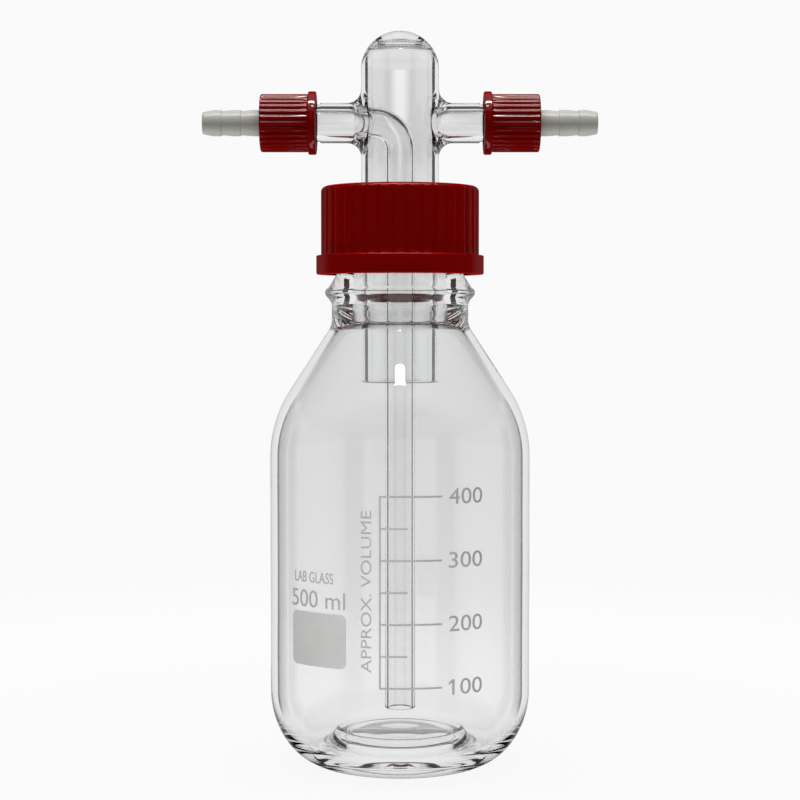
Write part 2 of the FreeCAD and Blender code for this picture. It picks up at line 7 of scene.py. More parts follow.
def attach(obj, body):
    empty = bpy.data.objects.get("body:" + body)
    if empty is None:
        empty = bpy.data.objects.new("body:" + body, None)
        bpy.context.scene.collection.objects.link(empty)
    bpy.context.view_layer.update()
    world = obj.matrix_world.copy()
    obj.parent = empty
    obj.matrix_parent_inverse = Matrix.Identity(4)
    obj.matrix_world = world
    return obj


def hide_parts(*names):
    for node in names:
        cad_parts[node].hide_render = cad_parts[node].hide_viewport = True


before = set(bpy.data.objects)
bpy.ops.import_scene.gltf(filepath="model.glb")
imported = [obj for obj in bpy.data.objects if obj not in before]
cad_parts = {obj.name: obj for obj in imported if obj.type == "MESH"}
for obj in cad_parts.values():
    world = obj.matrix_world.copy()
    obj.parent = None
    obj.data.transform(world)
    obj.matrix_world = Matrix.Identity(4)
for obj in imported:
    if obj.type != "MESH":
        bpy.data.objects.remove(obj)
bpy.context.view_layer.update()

# ---------------------------------------------------------------- table, light and camera
# A pale seamless table with the bottle standing on it, in front of a plain pale backdrop. The glass
# takes its tones from the surround and one small softbox; the plastics and the prints have their own.

MM = 0.001
BACKDROP = 0.955         # what the camera sees behind the bottle
BRIGHT = 0.9             # what the glass throws back from inside
DARK = 0.03              # the dark strips and the dark ring that draw the glass's lines
DARK_STRIP = (0.92, 0.95)   # where a strip fades in and is full, from 0 square on to 1 on the diagonal
HORIZON = -0.055         # where the table ends, as a height on the unit sphere round the camera
CLOSE_TABLE = -0.15      # where the table is close by, in the same measure
TABLE_R = 0.75
TABLE_FADE = (0.12, 0.5)    # distances from the bottle where the table starts and ends to fade out
TABLE_GLOW = (0.925, 0.57)  # as it is seen, and as it lights matt surfaces
CAMERA_AT = (0, -0.645, 0.148)
CAMERA_DIP = 2.4         # degrees that the camera looks down

scene = bpy.context.scene
scene.view_settings.view_transform = "Standard"
scene.cycles.max_bounces = 40
scene.cycles.transmission_bounces = 36
scene.cycles.glossy_bounces = 24
scene.cycles.diffuse_bounces = 4
scene.cycles.transparent_max_bounces = 24
scene.cycles.caustics_reflective = True
scene.cycles.caustics_refractive = True
scene.cycles.sample_clamp_indirect = 4.0


def deselect():
    if bpy.context.object and bpy.context.object.mode != "OBJECT":
        bpy.ops.object.mode_set(mode="OBJECT")
    bpy.ops.object.select_all(action="DESELECT")


def nodes_of(material):
    """A material's or world's own node tree, its nodes cleared, and shorthands to add and join them."""
    material.use_nodes = True
    tree = material.node_tree
    tree.nodes.clear()

    def add(kind, **values):
        node = tree.nodes.new(kind)
        for name, value in values.items():
            if hasattr(node, name):
                setattr(node, name, value)
            else:
                node.inputs[name.replace("_", " ")].default_value = value
        return node

    return tree, add, tree.links.new


def surround():
    """Pale backdrop, and a different room for rays that glass or plastic has bent, mirrored or scattered."""
    world = bpy.data.worlds.new("studio")
    scene.world = world
    tree, add, join = nodes_of(world)
    path = add("ShaderNodeLightPath")
    place = add("ShaderNodeTexCoord")
    axes = add("ShaderNodeSeparateXYZ")
    join(place.outputs["Generated"], axes.inputs[0])

    def feed(socket, value):
        if isinstance(value, (int, float)):
            socket.default_value = value
        else:
            join(value, socket)

    def maths(kind, *values):
        node = add("ShaderNodeMath", operation=kind)
        for socket, value in zip(node.inputs, values):
            feed(socket, value)
        return node.outputs[0]

    def ramp(value, low, high, out_low, out_high):
        """Smooth change from out_low to out_high while value goes from low to high."""
        node = add("ShaderNodeMapRange", interpolation_type="SMOOTHSTEP", From_Min=low, From_Max=high,
                   To_Min=out_low, To_Max=out_high)
        join(value, node.inputs["Value"])
        return node.outputs["Result"]

    def choose(switch, off, on):
        node = add("ShaderNodeMix", data_type="FLOAT")
        join(switch, node.inputs["Factor"])
        feed(node.inputs[2], off)
        feed(node.inputs[3], on)
        return node.outputs[0]

    away, up = axes.outputs["Y"], axes.outputs["Z"]
    aside = maths("ABSOLUTE", axes.outputs["X"])
    level = maths("ABSOLUTE", up)
    # what the glass throws back from inside: bright, with a dark upright strip at each diagonal and a dark
    # ring high up, which draw the thin dark lines along tubes, arms and domes, and dimmer from the front
    turn = maths("ARCTAN2", away, axes.outputs["X"])
    corner = maths("ABSOLUTE", maths("SINE", maths("MULTIPLY", turn, 2.0)))
    strips = maths("MAXIMUM", ramp(corner, *DARK_STRIP, BRIGHT, DARK), ramp(level, 0.22, 0.4, DARK, BRIGHT))
    front = ramp(away, -0.6, -0.2, 0.65, BRIGHT)
    ring = maths("MAXIMUM", ramp(up, 0.26, 0.40, BRIGHT, DARK), ramp(up, 0.80, 0.92, DARK, BRIGHT))
    inside = maths("MINIMUM", maths("MINIMUM", strips, ring), front)
    # what outer surfaces mirror: a dark room with a pale patch at the far side, lighter overhead
    far = maths("MULTIPLY", ramp(away, 0.35, 0.8, 0.0, 0.5), ramp(level, 0.2, 0.5, 1.0, 0.0))
    outside = maths("MAXIMUM", far, ramp(up, 0.55, 0.95, 0.005, 0.30))
    # what lights matt surfaces: a bright field overhead and a little light from all round
    soft = ramp(up, 0.84, 0.96, 0.06, 2.0)
    # what shows through the glass: a backdrop that is paler high up, greyer to the sides of the head and
    # dark overhead, and a table that is paler close by
    wings = choose(ramp(up, 0.06, 0.09, 0.0, 1.0), 1.0, ramp(aside, 0.008, 0.042, 1.0, 0.76))
    backdrop = maths("ADD", ramp(up, 0.06, 0.12, 0.0, 0.17), ramp(up, HORIZON, -0.01, 0.765, 0.81))
    shade = maths("MULTIPLY", wings, ramp(up, 0.25, 0.55, 1.0, 0.1))
    ground = ramp(up, HORIZON, CLOSE_TABLE, 0.79, 0.845)
    behind = choose(maths("LESS_THAN", up, HORIZON), maths("MULTIPLY", backdrop, shade), ground)
    reflected = maths("GREATER_THAN", path.outputs["Glossy Depth"], 0.5)
    through = maths("GREATER_THAN", path.outputs["Transmission Depth"], 0.5)
    scattered = maths("GREATER_THAN", path.outputs["Diffuse Depth"], 0.5)

    seen = choose(through, BACKDROP, behind)
    seen = choose(reflected, seen, choose(through, outside, inside))
    seen = choose(scattered, seen, soft)
    background = add("ShaderNodeBackground", Color=(1, 1, 1, 1))
    join(seen, background.inputs["Strength"])
    output = add("ShaderNodeOutputWorld")
    join(background.outputs[0], output.inputs["Surface"])


def softbox(name, at, size, strength, aim=(0, 0, 0.14), lights=None):
    """Rectangular light, unseen by the camera, turned to face a point; it may light one collection only."""
    deselect()
    bpy.ops.object.light_add(type="AREA", location=at)
    light = bpy.context.object
    light.name = name
    light.data.shape = "RECTANGLE"
    light.data.size, light.data.size_y = size
    light.data.energy = strength
    light.rotation_euler = (Vector(aim) - Vector(at)).to_track_quat("-Z", "Y").to_euler()
    light.visible_camera = False
    light.visible_transmission = False
    if lights is not None:
        light.light_linking.receiver_collection = lights
    return light


surround()
plastics = bpy.data.collections.new("lit_from_above_and_below")
prints = bpy.data.collections.new("lit_from_the_front")
softbox("softbox_small", (0.0, -0.378, 0.852), (0.12, 0.016), 0.12)
softbox("softbox_long", (0.0, -0.16, 0.95), (0.9, 0.10), 4.2, aim=(0, 0, 0.21), lights=plastics)
low_softbox = softbox("softbox_low", (0.0, -0.01, 0.003), (0.36, 0.12), 0.30, aim=(0, -0.01, 0.2),
                      lights=plastics)
low_softbox.visible_glossy = False
low_softbox.light_linking.blocker_collection = plastics
softbox("softbox_front", (-0.25, -0.9, 0.35), (0.5, 0.5), 6.0, lights=prints)

deselect()
bpy.ops.mesh.primitive_circle_add(vertices=96, radius=TABLE_R, fill_type="TRIFAN", location=(0, 0, 0))
table = bpy.context.object
table.name = "table"
paint = bpy.data.materials.new("table_paper")
tree, add, join = nodes_of(paint)
output = add("ShaderNodeOutputMaterial")
path = add("ShaderNodeLightPath")
place = add("ShaderNodeTexCoord")
reach = add("ShaderNodeVectorMath", operation="LENGTH")
fade = add("ShaderNodeMapRange", interpolation_type="SMOOTHSTEP", From_Min=TABLE_FADE[0],
           From_Max=TABLE_FADE[1])
glow = add("ShaderNodeEmission", Color=(1, 1, 1, 1))
glow_level = add("ShaderNodeMapRange", To_Min=TABLE_GLOW[0], To_Max=TABLE_GLOW[1])
paper = add("ShaderNodeBsdfDiffuse", Color=(0.085, 0.085, 0.085, 1))
both = add("ShaderNodeAddShader")
clear = add("ShaderNodeBsdfTransparent")
seen = add("ShaderNodeMixShader")
mirrored = add("ShaderNodeMath", operation="GREATER_THAN")   # a table that glass doesn't mirror
hidden = add("ShaderNodeMath", operation="MAXIMUM")
join(place.outputs["Object"], reach.inputs[0])
join(reach.outputs["Value"], fade.inputs["Value"])
join(path.outputs["Glossy Depth"], mirrored.inputs[0])
mirrored.inputs[1].default_value = 0.5
join(fade.outputs["Result"], hidden.inputs[0])
join(mirrored.outputs[0], hidden.inputs[1])
join(path.outputs["Diffuse Depth"], glow_level.inputs["Value"])
join(glow_level.outputs["Result"], glow.inputs["Strength"])
join(glow.outputs[0], both.inputs[0])
join(paper.outputs[0], both.inputs[1])
join(hidden.outputs[0], seen.inputs[0])
join(both.outputs[0], seen.inputs[1])
join(clear.outputs[0], seen.inputs[2])
join(seen.outputs[0], output.inputs["Surface"])
table.data.materials.append(paint)

deselect()
bpy.ops.object.camera_add(location=CAMERA_AT, rotation=(math.radians(90 - CAMERA_DIP), 0, 0))
camera = bpy.context.object
camera.data.lens = 87.5
camera.data.sensor_width = 36
scene.camera = camera

# ---------------------------------------------------------------- bottle
# Clear borosilicate bottle, blown in a mould: round body with a pushed-up base, a cone shoulder, a
# bead and a screw finish with a rolled thread. It is one piece of glass with smooth, fire-polished edges.

BODY_R = 42.985          # a hair inside the fired prints, so that the two don't share a surface
BODY_BORE_R = 40.3
SHOULDER_Z = 102.2
SLOPE = math.radians(33)
SHOULDER_ROUND = 41.0
THROAT_R = 22.6
THROAT_ROUND = 6.4
BORE_R = 16.0
BORE_ROUND = 20.0
HEEL_TOP = 25.0          # where the heel's oval meets the straight wall
FOOT_R = 23.0            # outer edge of the ring that the bottle stands on
TROUGH = (27.5, 6.4)     # radius and height of the lowest part of the inside
SHOULDER_WALL = 2.7
RIM_Z = 185.99
RIM_ROUND = 1.2
FINISH_R = 20.6
FINISH_FOOT = 164.2      # where the finish's straight wall starts
THREAD_H = 1.7
THREAD_PITCH = 4.0
THREAD_LOW = 173.8       # middle of the thread at its lower end
THREAD_TURNS = 1.9
THREAD_REACH = (164, 184.4)  # heights between which the wall may be moved out
TURNS = 180              # faces round a turned piece of glass


def arc(centre, radius, start, end, steps):
    """Points of an outline on a circle, from angle start to angle end in degrees."""
    angles = [math.radians(start + (end - start) * n / steps) for n in range(steps + 1)]
    return [(centre[0] + radius * math.cos(a), centre[1] + radius * math.sin(a)) for a in angles]


def oval(low, width, height, steps):
    """Points of a quarter oval that leaves its lowest point level and ends upright."""
    angles = [math.radians(90 * n / steps) for n in range(steps + 1)]
    return [(low[0] + width * math.sin(a), low[1] + height * (1 - math.cos(a))) for a in angles]


def between(a, b, steps):
    """Points of a straight run, ends left out."""
    return [tuple(p + (q - p) * n / steps for p, q in zip(a, b)) for n in range(1, steps)]


def cone_shoulder(body_r, neck_r, convex_r, concave_r):
    """Outline of a shoulder: a convex round, a straight cone and a concave round up to the neck."""
    rounds = (convex_r + concave_r) * (1 - math.cos(SLOPE))
    cone = (body_r - neck_r - rounds) / math.sin(SLOPE)
    points = arc((body_r - convex_r, SHOULDER_Z), convex_r, 0, math.degrees(SLOPE), 14)
    low = points[-1]
    high = (low[0] - cone * math.sin(SLOPE), low[1] + cone * math.cos(SLOPE))
    points += between(low, high, 8)
    centre = (high[0] + concave_r * math.cos(SLOPE), high[1] + concave_r * math.sin(SLOPE))
    return points + arc(centre, concave_r, 180 + math.degrees(SLOPE), 180, 10)


def drawn_outline(name, points):
    """Starts a piece as one vertex, extruded along an outline of (radius, height) points in mm."""
    deselect()
    bpy.ops.mesh.primitive_plane_add(size=MM, location=(0, 0, 0))
    piece = bpy.context.object
    piece.name = piece.data.name = name
    bpy.ops.object.mode_set(mode="EDIT")
    bpy.ops.mesh.select_all(action="SELECT")
    bpy.ops.mesh.merge(type="CENTER")
    places = [Vector((r * MM, 0, z * MM)) for r, z in points]
    bpy.ops.transform.translate(value=places[0])
    for a, b in zip(places, places[1:]):
        bpy.ops.mesh.extrude_region_move(TRANSFORM_OT_translate={"value": b - a})
    bpy.ops.mesh.select_all(action="SELECT")
    return piece


def spun(name, points, turns, closed):
    """Turned piece: the outline is spun about Z, its doubles merged and its faces pointed outwards."""
    piece = drawn_outline(name, points + points[:1] if closed else points)
    bpy.ops.mesh.remove_doubles(threshold=0.002 * MM)
    bpy.ops.mesh.select_all(action="SELECT")
    bpy.ops.mesh.spin(steps=turns, angle=2 * math.pi, center=(0, 0, 0), axis=(0, 0, 1))
    bpy.ops.mesh.select_all(action="SELECT")
    bpy.ops.mesh.remove_doubles(threshold=0.002 * MM)
    bpy.ops.mesh.normals_make_consistent(inside=False)
    bpy.ops.object.mode_set(mode="OBJECT")
    return piece


def thread_height(turn, height, low, pitch, turns, half_width):
    """How far a thread stands up, from 0 to 1, at a share of a turn and a height."""
    best = 0.0
    for whole in range(int(turns) + 1):
        along = whole + turn
        if 0 <= along <= turns:
            off = abs(height - low - pitch * along) / half_width
            best = max(best, min(1, 8 * along, 8 * (turns - along)) * max(0.0, 1 - off ** 2.6))
    return best


def shape_round(piece, moved):
    """Moves each vertex in or out by what moved says for its share of a turn, radius and height in mm."""
    for vertex in piece.data.vertices:
        radius = math.hypot(vertex.co.x, vertex.co.y) / MM
        turn = math.atan2(vertex.co.y, vertex.co.x) / (2 * math.pi) % 1
        move = moved(turn, radius, vertex.co.z / MM)
        if move:
            scale = (radius + move) / radius
            vertex.co.x *= scale
            vertex.co.y *= scale


def smooth(piece, degrees):
    deselect()
    piece.select_set(True)
    bpy.context.view_layer.objects.active = piece
    bpy.ops.object.shade_smooth_by_angle(angle=math.radians(degrees))


def glass(name, tint, wave):
    """Clear glass with the faint waves of hand-blown ware."""
    material = bpy.data.materials.new(name)
    tree, add, join = nodes_of(material)
    output = add("ShaderNodeOutputMaterial")
    surface = add("ShaderNodeBsdfPrincipled", Roughness=0.0, IOR=1.47, Transmission_Weight=1.0)
    surface.inputs["Base Color"].default_value = (*tint, 1)
    place = add("ShaderNodeTexCoord")
    waves = add("ShaderNodeTexNoise", Scale=38.0, Detail=1.5, Roughness=0.4)
    bump = add("ShaderNodeBump", Strength=1.0, Distance=wave * MM)
    join(place.outputs["Object"], waves.inputs["Vector"])
    join(waves.outputs["Fac"], bump.inputs["Height"])
    join(bump.outputs["Normal"], surface.inputs["Normal"])
    join(surface.outputs[0], output.inputs["Surface"])
    return material


# the pushed-up middle of the base and the narrow ring that the bottle stands on
base_under = [(0, 7.2), (6, 7.02), (12, 6.86), (16.18, 6.7), (17.2, 6.42), (17.86, 5.92), (18.34, 5.04)]
base_under += [(19.4, 2.5), (20.3, 0.45), (20.55, 0.1), (20.8, 0.0), (22.0, 0.0)]
# the outside, up the heel, the wall and the shoulder, round the bead and up the finish to the rim
outer = oval((FOOT_R, 0.0), BODY_R - FOOT_R, HEEL_TOP, 26)
outer += between((BODY_R, HEEL_TOP), (BODY_R, SHOULDER_Z), 12)
outer += cone_shoulder(BODY_R, THROAT_R, SHOULDER_ROUND, THROAT_ROUND)
outer += [(THROAT_R, 150.2), (THROAT_R, 152.2)]
outer += [(22.68, 152.85), (23.0, 153.6), (23.5, 154.35), (24.05, 154.95), (24.5, 155.5), (24.74, 156.0)]
outer += [(24.8, 156.4), (24.78, 156.9), (24.62, 157.4), (24.3, 157.8), (23.9, 158.05), (23.4, 158.6)]
outer += [(22.6, 159.9), (21.9, 161.1), (21.4, 161.9), (21.0, 162.6), (20.7, 163.3), (FINISH_R, FINISH_FOOT)]
outer += [(FINISH_R, FINISH_FOOT + 0.4 * n) for n in range(1, 51)]
outer += arc((FINISH_R - RIM_ROUND, RIM_Z - RIM_ROUND), RIM_ROUND, 0, 90, 5)
# the inside, from the rim down the bore, the shoulder and the wall to the trough and the raised middle
inner = arc((BORE_R + RIM_ROUND, RIM_Z - RIM_ROUND), RIM_ROUND, 90, 180, 5)
inner += between((BORE_R, RIM_Z - RIM_ROUND), (BORE_R, 156.0), 8)
inner += list(reversed(cone_shoulder(BODY_BORE_R, BORE_R, SHOULDER_ROUND - SHOULDER_WALL, BORE_ROUND)))
inner += between((BODY_BORE_R, SHOULDER_Z), (BODY_BORE_R, HEEL_TOP), 12)
inner += list(reversed(oval(TROUGH, BODY_BORE_R - TROUGH[0], 18.6, 20)))
inner += [(26.6, 6.42), (25.5, 6.62), (24.5, 7.1), (23.6, 7.86), (22.7, 8.85), (22.1, 9.7), (21.6, 10.4)]
inner += [(21.2, 10.9), (20.7, 11.22), (20.0, 11.4), (19.7, 11.41), (16, 11.53), (10, 11.71), (5, 11.87)]
inner += [(0, 12.0)]


def finish_shape(turn, radius, height):
    """The bottle's rolled thread, for shape_round."""
    if THREAD_REACH[0] < height < THREAD_REACH[1] and radius > FINISH_R - 0.1:
        return THREAD_H * thread_height(turn, height, THREAD_LOW, THREAD_PITCH, THREAD_TURNS, 1.25)
    return 0.0


bottle = spun("bottle", base_under + outer + inner, TURNS, closed=False)
shape_round(bottle, finish_shape)
smooth(bottle, 60)
bottle.data.materials.append(glass("bottle_glass_clear", (0.958, 0.962, 0.961), 0.05))
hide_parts("bottle_glass")
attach(bottle, "bottle")

# ---------------------------------------------------------------- fired prints
# Grey enamel printed on the front of the bottle and fired into it: a volume scale, its numbers and
# words, and a rounded panel to write on. It is a few hundredths of a millimetre thick and slightly matt.

PRINT_R = 43.0
PRINT_LIFT = 0.03        # clear of the glass, so that the two don't share a surface
PRINT_T = 0.08


def enamel(name, colour, grain):
    """Matt fired enamel with the fine speckle of a screen print."""
    material = bpy.data.materials.new(name)
    tree, add, join = nodes_of(material)
    output = add("ShaderNodeOutputMaterial")
    surface = add("ShaderNodeBsdfPrincipled", Roughness=0.55)
    place = add("ShaderNodeTexCoord")
    speckle = add("ShaderNodeTexNoise", Scale=2600.0, Detail=2.0)
    cloud = add("ShaderNodeTexNoise", Scale=120.0, Detail=2.0)
    mix = add("ShaderNodeMath", operation="MULTIPLY")
    tone = add("ShaderNodeValToRGB")
    join(place.outputs["Object"], speckle.inputs["Vector"])
    join(place.outputs["Object"], cloud.inputs["Vector"])
    join(speckle.outputs["Fac"], mix.inputs[0])
    join(cloud.outputs["Fac"], mix.inputs[1])
    join(mix.outputs[0], tone.inputs["Fac"])
    tone.color_ramp.elements[0].position = 0.12
    tone.color_ramp.elements[1].position = 0.40
    tone.color_ramp.elements[0].color = tuple(c * (1 - grain) for c in colour) + (1,)
    tone.color_ramp.elements[1].color = tuple(min(1, c * (1 + grain)) for c in colour) + (1,)
    bump = add("ShaderNodeBump", Strength=0.3, Distance=0.02 * MM)
    join(speckle.outputs["Fac"], bump.inputs["Height"])
    join(bump.outputs["Normal"], surface.inputs["Normal"])
    join(tone.outputs["Color"], surface.inputs["Base Color"])
    join(surface.outputs[0], output.inputs["Surface"])
    return material


def add_flag(piece):
    """Adds the short slanted stroke at the top of a numeral one at the start of flat lettering."""
    left = min(v.co.x for v in piece.data.vertices)
    top = max(v.co.y for v in piece.data.vertices)
    bpy.ops.mesh.primitive_cube_add(size=1, location=(0, 0, 0))
    flag = bpy.context.object
    for vertex in flag.data.vertices:
        inner, high, front = (value > 0 for value in vertex.co)
        across = left + 0.03 if inner else left - 0.13
        up = top - (0.0 if high else 0.11) - (0.0 if inner else 0.14)
        vertex.co = (across, up, 0.5 if front else -0.5)
    piece.select_set(True)
    bpy.context.view_layer.objects.active = piece
    bpy.ops.object.join()


def printed_words(name, words, left, right, low, high, upright=False):
    """Lettering wrapped on the front of the body between two angles in degrees and two heights in mm."""
    deselect()
    bpy.ops.object.text_add(location=(0, 0, 0))
    piece = bpy.context.object
    piece.name = name
    piece.data.body = words
    piece.data.extrude = 0.5
    piece.data.resolution_u = 6
    bpy.ops.object.convert(target="MESH")
    piece = bpy.context.object
    piece.name = piece.data.name = name
    if words.startswith("1"):
        add_flag(piece)
    if upright:
        piece.data.transform(Matrix.Rotation(math.radians(90), 4, "Z"))
    xs = [v.co.x for v in piece.data.vertices]
    ys = [v.co.y for v in piece.data.vertices]
    for vertex in piece.data.vertices:
        across = (vertex.co.x - min(xs)) / (max(xs) - min(xs))
        along = (vertex.co.y - min(ys)) / (max(ys) - min(ys))
        angle = math.radians(left + (right - left) * across)
        radius = (PRINT_R + PRINT_LIFT + (PRINT_T if vertex.co.z > 0 else 0)) * MM
        vertex.co = (radius * math.sin(angle), -radius * math.cos(angle), (low + (high - low) * along) * MM)
    deselect()
    piece.select_set(True)
    bpy.context.view_layer.objects.active = piece
    bpy.ops.object.mode_set(mode="EDIT")
    bpy.ops.mesh.select_all(action="SELECT")
    bpy.ops.mesh.remove_doubles(threshold=0.002 * MM)
    bpy.ops.mesh.normals_make_consistent(inside=False)
    bpy.ops.object.mode_set(mode="OBJECT")
    piece.data.materials.clear()
    piece.data.materials.append(ink)
    prints.objects.link(piece)
    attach(piece, "bottle")
    return piece


ink = enamel("enamel_lines", (0.46, 0.46, 0.455), 0.10)
panel_ink = enamel("enamel_panel", (0.61, 0.61, 0.60), 0.06)
NUMBER_H = 5.0
for mark, height in (("100", 32.6), ("200", 52.6), ("300", 72.6), ("400", 92.6)):
    printed_words("number_" + mark, mark, 20.8, 36.9, height - NUMBER_H / 2, height + NUMBER_H / 2)
printed_words("words_volume", "APPROX. VOLUME", -16.5, -12.0, 37.4, 88.2, upright=True)
printed_words("words_glass", "LAB GLASS", -50.9, -29.2, 64.5, 68.0)
printed_words("words_capacity", "500 ml", -52.8, -23.5, 56.6, 62.1)


def repaint(material, *node_names):
    """Gives carried-over pieces their finish."""
    for node_name in node_names:
        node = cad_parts[node_name]
        node.data.materials.clear()
        node.data.materials.append(material)


repaint(ink, "volume_scale")
repaint(panel_ink, "marking_panel")
prints.objects.link(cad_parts["volume_scale"])
prints.objects.link(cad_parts["marking_panel"])

# ---------------------------------------------------------------- washer and seal
# A thin white fluoropolymer washer lies on the rim, and a translucent silicone ring on top of it grips
# the wide tube when the cap presses it.


def moulded(name, colour, roughness, grain_scale, grain_depth, variation, gloss=None, **extra):
    """Moulded or cut plastic: one base colour with a faint cloudiness and a fine surface grain.

    A gloss is the same share of mirrored light at every angle, as on plastic with a soft skin.
    """
    material = bpy.data.materials.new(name)
    tree, add, join = nodes_of(material)
    output = add("ShaderNodeOutputMaterial")
    surface = add("ShaderNodeBsdfPrincipled", **extra)
    place = add("ShaderNodeTexCoord")
    cloud = add("ShaderNodeTexNoise", Scale=90.0, Detail=3.0)
    tone = add("ShaderNodeValToRGB")
    join(place.outputs["Object"], cloud.inputs["Vector"])
    join(cloud.outputs["Fac"], tone.inputs["Fac"])
    tone.color_ramp.elements[0].position = 0.3
    tone.color_ramp.elements[1].position = 0.7
    tone.color_ramp.elements[0].color = tuple(c * (1 - variation) for c in colour) + (1,)
    tone.color_ramp.elements[1].color = tuple(min(1, c * (1 + variation)) for c in colour) + (1,)
    join(tone.outputs["Color"], surface.inputs["Base Color"])
    grain = add("ShaderNodeTexNoise", Scale=grain_scale, Detail=2.0)
    rough = add("ShaderNodeMapRange", From_Min=0.3, From_Max=0.7, To_Min=roughness * 0.85,
                To_Max=roughness * 1.2)
    join(place.outputs["Object"], grain.inputs["Vector"])
    join(grain.outputs["Fac"], rough.inputs["Value"])
    join(rough.outputs["Result"], surface.inputs["Roughness"])
    bump = add("ShaderNodeBump", Strength=0.5, Distance=grain_depth * MM)
    join(grain.outputs["Fac"], bump.inputs["Height"])
    join(bump.outputs["Normal"], surface.inputs["Normal"])
    if gloss is None:
        join(surface.outputs[0], output.inputs["Surface"])
        return material
    surface.inputs["Specular IOR Level"].default_value = 0.0
    shine = add("ShaderNodeBsdfGlossy", Color=(1, 1, 1, 1))
    both = add("ShaderNodeMixShader", Fac=gloss)
    join(rough.outputs["Result"], shine.inputs["Roughness"])
    join(bump.outputs["Normal"], shine.inputs["Normal"])
    join(surface.outputs[0], both.inputs[1])
    join(shine.outputs[0], both.inputs[2])
    join(both.outputs[0], output.inputs["Surface"])
    return material


silicone = moulded("silicone_clear", (0.80, 0.80, 0.77), 0.35, 900.0, 0.02, 0.03, Subsurface_Weight=0.4,
                   Subsurface_Scale=0.002)
fluoropolymer = moulded("fluoropolymer_white", (0.86, 0.86, 0.84), 0.4, 1400.0, 0.01, 0.02)
repaint(silicone, "neck_seal", "inlet_washer", "outlet_washer")
repaint(fluoropolymer, "rim_washer")

# ---------------------------------------------------------------- head
# One-piece glass head: a wide domed tube with two side arms, and a narrow dip tube sealed into the
# inlet arm.

head_clear = glass("head_glass_clear", (0.965, 0.968, 0.967), 0.04)
repaint(head_clear, "head_glass", "dip_tube")

# ---------------------------------------------------------------- neck cap
# Open-topped screw cap, moulded in red plastic: soft ribs with narrow hollows between them, a plain
# skirt ring, and its own thread inside, half a pitch off the bottle's.

CAP_R = 26.1
CAP_BORE_R = 23.8
CAP_LOW = 162.5
CAP_TOP = 191.5
CAP_UNDER_TOP = 189.53   # a hair clear of the seal
CAP_RIBS = 36
CAP_RIB_FOOT = 168.9     # top of the skirt ring, where the ribs start
CAP_RIB_DEPTH = 0.4
CAP_THREAD_H = 1.2
CAP_THREAD_LOW = 171.8


def hollow(turn, ribs, share):
    """Depth of the hollow between two ribs, from 0 to 1, at a share of a turn."""
    off = abs((turn * ribs) % 1 - 0.5) * 2 / share
    return (0.5 + 0.5 * math.cos(math.pi * off)) if off < 1 else 0.0


def cap_shape(turn, radius, height):
    """The neck cap's thread inside and ribs outside, for shape_round."""
    if radius < CAP_BORE_R + 0.01 and height < 189.4:
        return -CAP_THREAD_H * thread_height(turn, height, CAP_THREAD_LOW, THREAD_PITCH, THREAD_TURNS, 1.2)
    if radius > 24.2 and height > CAP_RIB_FOOT:
        fade = min(1, (height - CAP_RIB_FOOT) / 0.5, max(0, (191.3 - height) / 1.4))
        return -CAP_RIB_DEPTH * fade * hollow(turn, CAP_RIBS, 0.42)
    return 0.0


cap_red = moulded("cap_red", (0.32, 0.0008, 0.0006), 0.18, 3800.0, 0.002, 0.035, gloss=0.03)
outline = [(CAP_BORE_R, CAP_LOW), (24.3, CAP_LOW)] + arc((27.1, 163.1), 0.6, -90, 0, 4)
outline += arc((27.3, 168.4), 0.4, 0, 90, 4) + [(26.6, 168.82), (26.25, CAP_RIB_FOOT), (CAP_R, 169.1)]
outline += between((CAP_R, 169.1), (CAP_R, 189.7), 10) + arc((24.3, 189.7), 1.8, 0, 90, 8)
outline += [(21.0, CAP_TOP), (17.5, CAP_TOP)] + arc((17.4, 191.1), 0.4, 90, 180, 3)
outline += [(17.0, CAP_UNDER_TOP), (20.0, CAP_UNDER_TOP), (CAP_BORE_R, CAP_UNDER_TOP)]
outline += between((CAP_BORE_R, CAP_UNDER_TOP), (CAP_BORE_R, CAP_LOW), 66)
neck_cap = spun("neck_cap_ribbed", outline, 8 * CAP_RIBS, closed=True)
shape_round(neck_cap, cap_shape)
smooth(neck_cap, 40)
neck_cap.data.materials.append(cap_red)
plastics.objects.link(neck_cap)
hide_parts("neck_cap")
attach(neck_cap, "neck_cap")

# ---------------------------------------------------------------- side caps
# Two small glossy red screw caps on the arms, moulded with half-round ribs and a skirt ring, each with
# a hole that the hose connector stands out of.

ARM_Z = 212.4
SIDE_RIBS = 30
SIDE_R = 9.55
SIDE_BORE_R = 7.25
SIDE_START = 27.6        # along the arm, from the bottle's axis
SIDE_END = 46.0
SIDE_UNDER_END = 44.03
SIDE_RIB_FOOT = 30.3
SIDE_RIB_DEPTH = 0.5
SIDE_THREAD_H = 0.9
SIDE_THREAD_LOW = 30.55
SIDE_PITCH = 2.5
SIDE_TURNS = 3.0


def side_cap_shape(turn, radius, height):
    """A side cap's thread inside and ribs outside, for shape_round."""
    if radius < SIDE_BORE_R + 0.01 and height < 43.9:
        return -SIDE_THREAD_H * thread_height(turn, height, SIDE_THREAD_LOW, SIDE_PITCH, SIDE_TURNS, 0.7)
    if radius > 8.6 and SIDE_RIB_FOOT < height:
        fade = min(1, (height - SIDE_RIB_FOOT) / 0.3, max(0, (45.95 - height) / 0.6))
        return -SIDE_RIB_DEPTH * fade * hollow(turn, SIDE_RIBS, 0.95)
    return 0.0


def onto_arm(piece, side):
    """Turns a piece made about Z so that it lies along an arm: side is -1 for the inlet, 1 for the outlet."""
    laid = Matrix.Rotation(math.radians(90 * side), 4, "Y")
    piece.data.transform(Matrix.Translation((0, 0, ARM_Z * MM)) @ laid)
    piece.data.update()


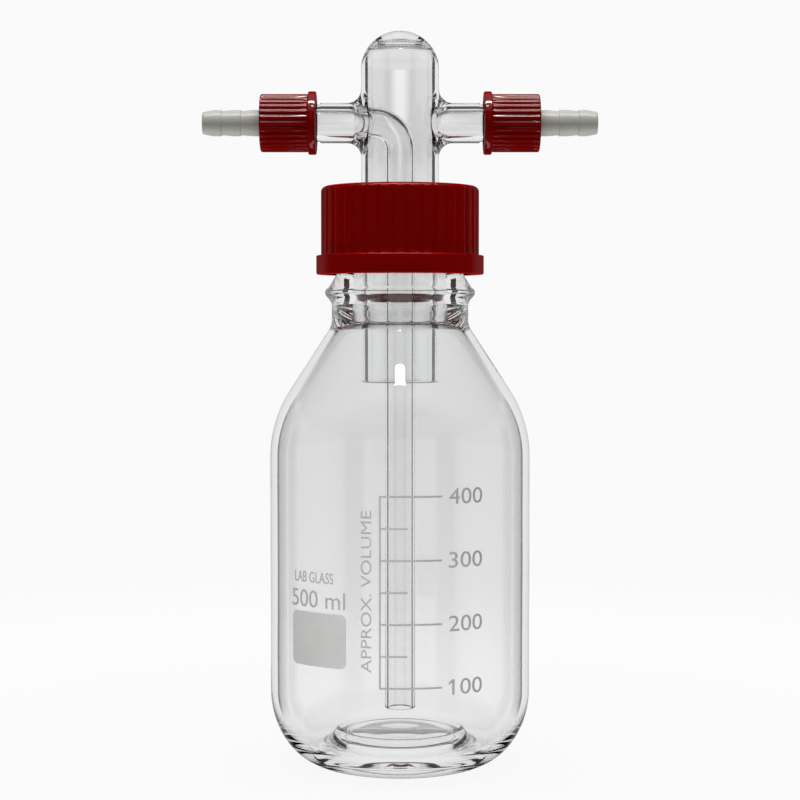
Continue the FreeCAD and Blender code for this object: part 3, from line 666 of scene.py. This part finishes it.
def on_both_arms(piece, name, material):
    """Copies a piece onto both arms, each copy with its own mesh, named for its arm."""
    piece.data.materials.append(material)
    twin = piece.copy()
    twin.data = piece.data.copy()
    scene.collection.objects.link(twin)
    for each, side, end in ((piece, -1, "inlet"), (twin, 1, "outlet")):
        each.name = each.data.name = f"{end}_{name}"
        onto_arm(each, side)
        plastics.objects.link(each)
    return piece, twin


side_red = moulded("side_cap_red", (0.25, 0.0008, 0.001), 0.08, 3800.0, 0.001, 0.03, gloss=0.11)
outline = [(SIDE_BORE_R, SIDE_START), (7.7, SIDE_START)] + arc((9.9, 28.1), 0.5, -90, 0, 4)
outline += arc((10.0, 29.8), 0.4, 0, 90, 4) + [(9.7, 30.25), (SIDE_R, 30.4)]
outline += between((SIDE_R, 30.4), (SIDE_R, 45.3), 6) + arc((8.85, 45.3), 0.7, 0, 90, 6)
outline += [(7.0, SIDE_END), (5.1, SIDE_END)] + arc((5.05, 45.7), 0.3, 90, 180, 3)
outline += [(4.75, SIDE_UNDER_END), (6.0, SIDE_UNDER_END), (SIDE_BORE_R, SIDE_UNDER_END)]
outline += between((SIDE_BORE_R, SIDE_UNDER_END), (SIDE_BORE_R, SIDE_START), 40)
side_cap = spun("side_cap", outline, 8 * SIDE_RIBS, closed=True)
shape_round(side_cap, side_cap_shape)
smooth(side_cap, 40)
inlet_cap, outlet_cap = on_both_arms(side_cap, "cap_ribbed", side_red)
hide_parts("inlet_side_cap")
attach(inlet_cap, "inlet_cap")
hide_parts("outlet_side_cap")
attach(outlet_cap, "outlet_cap")

# ---------------------------------------------------------------- hose connectors
# Off-white moulded nozzles with a collar that each side cap presses on its washer, and three low
# ridges that hold a hose.

connector_white = moulded("connector_white", (0.66, 0.66, 0.61), 0.28, 2600.0, 0.002, 0.02)
NOZZLE_BORE_R = 3.0
COLLAR_START = 42.5
TIP_INSIDE = 64.8
outline = [(NOZZLE_BORE_R, COLLAR_START), (6.0, COLLAR_START), (6.13, 42.6), (6.13, 43.9), (6.0, 43.98)]
outline += [(4.05, 43.98), (3.95, 44.1)]
for start in (46.0, 52.367, 58.733):
    outline += [(3.95, start - 0.04), (4.16, start), (4.27, start + 0.12), (4.3, start + 0.35)]
    outline += [(4.3, start + 2.5), (4.26, start + 3.1)]
outline += [(3.8, 64.2), (3.68, 64.75), (3.5, 65.02), (3.3, 65.09), (3.1, 65.03), (NOZZLE_BORE_R, TIP_INSIDE)]
outline += between((NOZZLE_BORE_R, TIP_INSIDE), (NOZZLE_BORE_R, COLLAR_START), 5)
connector = spun("connector", outline, 96, closed=True)
smooth(connector, 40)
inlet_nozzle, outlet_nozzle = on_both_arms(
    connector, "connector_moulded", connector_white)
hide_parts("inlet_hose_connector")
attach(inlet_nozzle, "inlet_connector")
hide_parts("outlet_hose_connector")
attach(outlet_nozzle, "outlet_connector")
